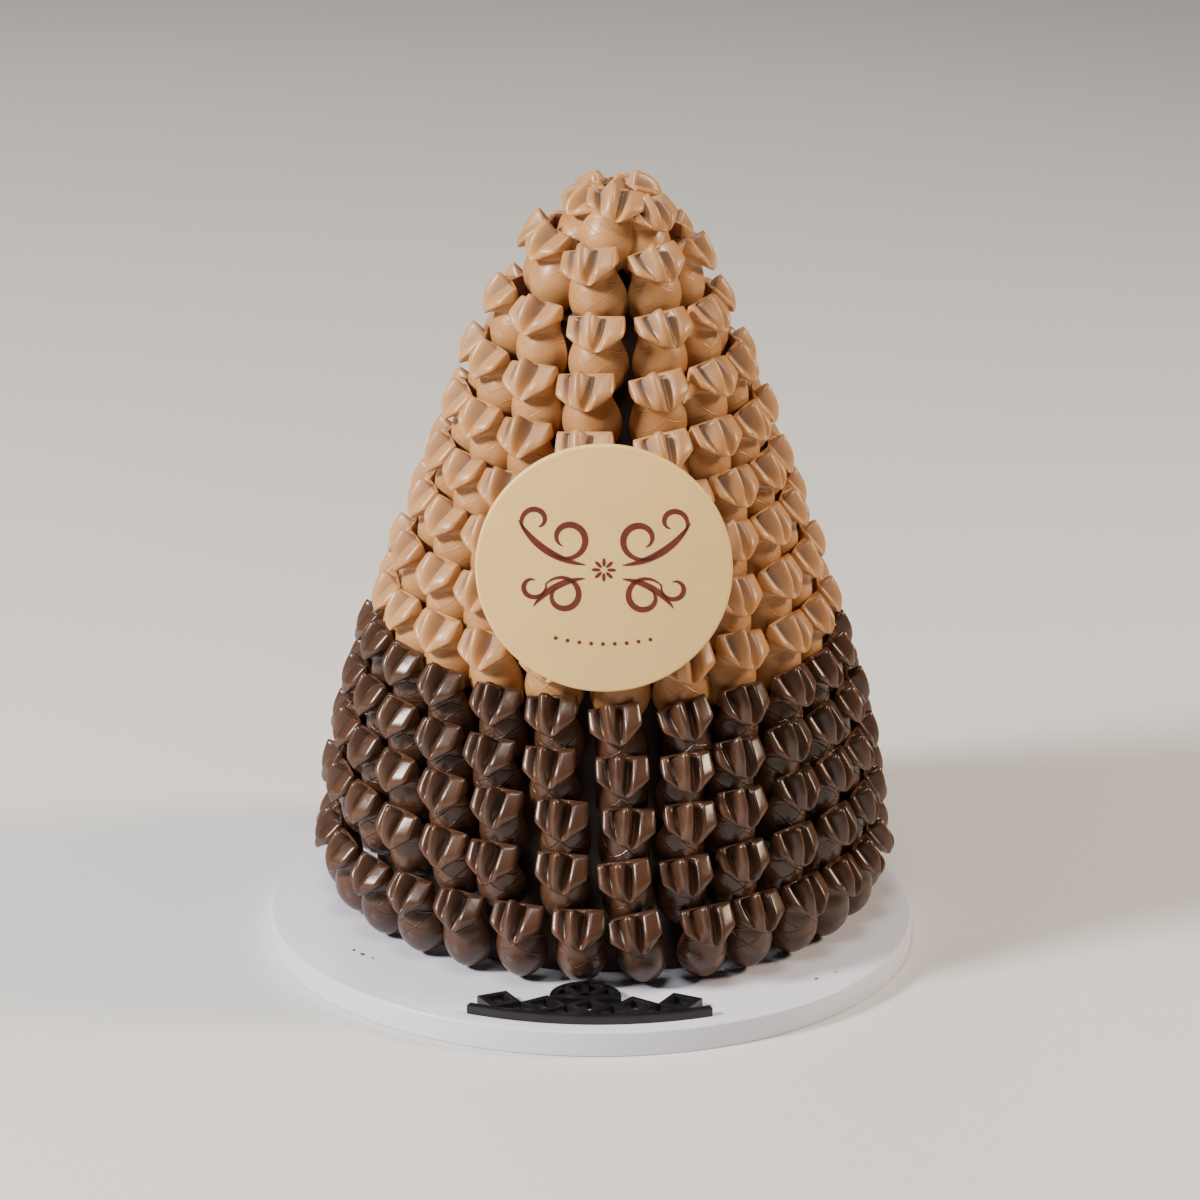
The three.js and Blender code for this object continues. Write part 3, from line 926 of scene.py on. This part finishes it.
# %% The whole ornament
bm = bmesh.new()
ring_sheet(
    bm, STRIP_INNER, STRIP_OUTER, -STRIP_HALF_ANGLE, STRIP_HALF_ANGLE, STRIP_STEPS
)
for i in range(LOZENGE_COUNT):
    verts = lozenge_sheet(bm)
    turn = (i - (LOZENGE_COUNT - 1) / 2) * LOZENGE_PITCH
    bmesh.ops.translate(bm, vec=(0, -LOZENGE_RADIUS, 0), verts=verts)
    turn_about_middle(bm, verts, turn)
before = set(bm.verts)
ring_sheet(bm, FAN_INNER, FAN_RADIUS, 90, 270, FAN_STEPS)
bar_sheet(bm, FAN_RADIUS, -FAN_BAR, 0.5 * FAN_BAR)
for turn in (-FAN_SPREAD, 0, FAN_SPREAD):
    bar = bar_sheet(bm, FAN_BAR / 2, 0, FAN_RADIUS - FAN_BAR / 2)
    turn_about_middle(bm, bar, turn)
fan = [v for v in bm.verts if v not in before]
bmesh.ops.translate(bm, vec=(FAN_X, -FAN_BACK, 0), verts=fan)
for face in bm.faces:
    if face.normal.z < 0:
        face.normal_flip()
bmesh.ops.solidify(bm, geom=bm.faces[:], thickness=-ORNAMENT_THICKNESS)
bmesh.ops.recalc_face_normals(bm, faces=bm.faces)
sharp = [
    e for e in bm.edges if len(e.link_faces) == 2 and e.calc_face_angle() > SHARP_EDGE
]
outline = [e for e in sharp if min(v.co.z for v in e.verts) > ORNAMENT_THICKNESS / 4]
bmesh.ops.bevel(
    bm, geom=outline, offset=ORNAMENT_BEVEL, segments=2, profile=0.5,
    affect="EDGES", material=-1,
)
bmesh.ops.scale(bm, vec=(MM, MM, MM), verts=bm.verts)
lift = (BOARD_THICKNESS + ORNAMENT_LIFT) * MM
bmesh.ops.translate(bm, vec=(0, 0, lift), verts=bm.verts)
finish_piece(
    bm, "black_ornament", [ornament_black], ["board_ornament"]
)

# %% [markdown]
# ## Crumbs
# A few shards of chocolate broke off while the pyramid was built and lie on
# the board. Small rough balls, pressed flat, are enough at their size.

# %% Shards on the board
# across, depth and size of each shard, in millimetres
CRUMBS = [
    (-104, -66, 1.2), (-108, -61, 0.8), (-99, -70, 0.6), (102, -88, 0.8), (111, -80, 0.6),
]
CRUMB_SEED = 7
CRUMB_ROUGHNESS = (0.6, 1.15)
CRUMB_SHAPE = (1.5, 0.9, 0.5)
CRUMB_RISE = 0.4  # a shard's middle lies this share of its size above the board

rng = random.Random(CRUMB_SEED)
bm = bmesh.new()
for x, y, size in CRUMBS:
    shard = bmesh.ops.create_icosphere(bm, subdivisions=1, radius=size * MM)["verts"]
    for vert in shard:
        vert.co *= rng.uniform(*CRUMB_ROUGHNESS)
    bmesh.ops.scale(bm, vec=CRUMB_SHAPE, verts=shard)
    turn = Matrix.Rotation(rng.uniform(0, 6), 3, "Z")
    bmesh.ops.rotate(bm, cent=(0, 0, 0), matrix=turn, verts=shard)
    height = BOARD_THICKNESS + size * CRUMB_RISE
    bmesh.ops.translate(bm, vec=(x * MM, y * MM, height * MM), verts=shard)
finish_piece(bm, "crumbs", [brown_back], sharp_angle=20)

# %% [markdown]
# ## Floor, light and camera
# A pale floor and soft lamps, as in a small studio: the main one is on the
# left, one hangs above the front, a warm one comes from the right and a weak
# one from behind, and the world fills the rest. Light from the side shows the
# folds of the crowns, which a lamp beside the camera would flatten. The camera
# has a long lens, a little above the pyramid.

# %% The floor
FLOOR_HALF = 14  # metres
FLOOR_DROP = 0.0003  # metres below the board, so that the two faces don't meet

floor_pale, *_ = mottled_material(
    "floor_pale", 1.5, 2.0, srgb(206, 204, 203), srgb(214, 212, 211), Roughness=0.7
)
bm = bmesh.new()
bmesh.ops.create_grid(bm, x_segments=1, y_segments=1, size=FLOOR_HALF)
bmesh.ops.translate(bm, vec=(0, 0, -FLOOR_DROP), verts=bm.verts)
floor_mesh = bpy.data.meshes.new("floor")
bm.to_mesh(floor_mesh)
bm.free()
floor_mesh.materials.append(floor_pale)
floor = bpy.data.objects.new("floor", floor_mesh)
bpy.context.scene.collection.objects.link(floor)
print("floor", floor.dimensions[:])


# %% The lamps
def soft_lamp(name, place, target, size, power, colour):
    """A round lamp that looks at the target; metres and watts."""
    light = bpy.data.lights.new(name, "AREA")
    light.shape = "DISK"
    light.size = size
    light.energy = power
    light.color = colour
    lamp = bpy.data.objects.new(name, light)
    aim = (Vector(target) - Vector(place)).to_track_quat("-Z", "Y")
    lamp.matrix_world = Matrix.Translation(place) @ aim.to_matrix().to_4x4()
    bpy.context.scene.collection.objects.link(lamp)


MIDDLE = (0, 0, 0.17)
WORLD_COLOUR = (0.86, 0.88, 0.92, 1)
WORLD_STRENGTH = 0.055
soft_lamp("main_lamp", (-2.1, -1.0, 1.6), MIDDLE, 0.6, 150, (1.0, 0.96, 0.9))
soft_lamp("top_lamp", (-0.2, -0.9, 2.6), MIDDLE, 0.9, 34, (1.0, 0.98, 0.95))
soft_lamp("warm_lamp", (1.8, 0.1, 1.2), MIDDLE, 0.5, 46, (1.0, 0.8, 0.58))
soft_lamp("back_lamp", (-0.6, 1.9, 1.6), MIDDLE, 1.2, 10, (1.0, 0.95, 0.9))
world = bpy.data.worlds.new("studio")
world.use_nodes = True
background = world.node_tree.nodes["Background"]
background.inputs["Color"].default_value = WORLD_COLOUR
background.inputs["Strength"].default_value = WORLD_STRENGTH
bpy.context.scene.world = world

# %% The camera
CAMERA_PLACE = (0.00242, -2.00837, 0.83193)
CAMERA_DOWN = 18.47
CAMERA_ROLL = 0.667
CAMERA_LENS, CAMERA_SENSOR = 138.5, 36
CAMERA_REACH = 40  # metres

lens = bpy.data.cameras.new("camera")
lens.sensor_width = CAMERA_SENSOR
lens.lens = CAMERA_LENS
lens.clip_end = CAMERA_REACH
camera = bpy.data.objects.new("camera", lens)
camera.matrix_world = (
    Matrix.Translation(CAMERA_PLACE)
    @ Matrix.Rotation(math.radians(90 - CAMERA_DOWN), 4, "X")
    @ Matrix.Rotation(math.radians(CAMERA_ROLL), 4, "Z")
)
bpy.context.scene.collection.objects.link(camera)
bpy.context.scene.camera = camera
print("camera at", CAMERA_PLACE)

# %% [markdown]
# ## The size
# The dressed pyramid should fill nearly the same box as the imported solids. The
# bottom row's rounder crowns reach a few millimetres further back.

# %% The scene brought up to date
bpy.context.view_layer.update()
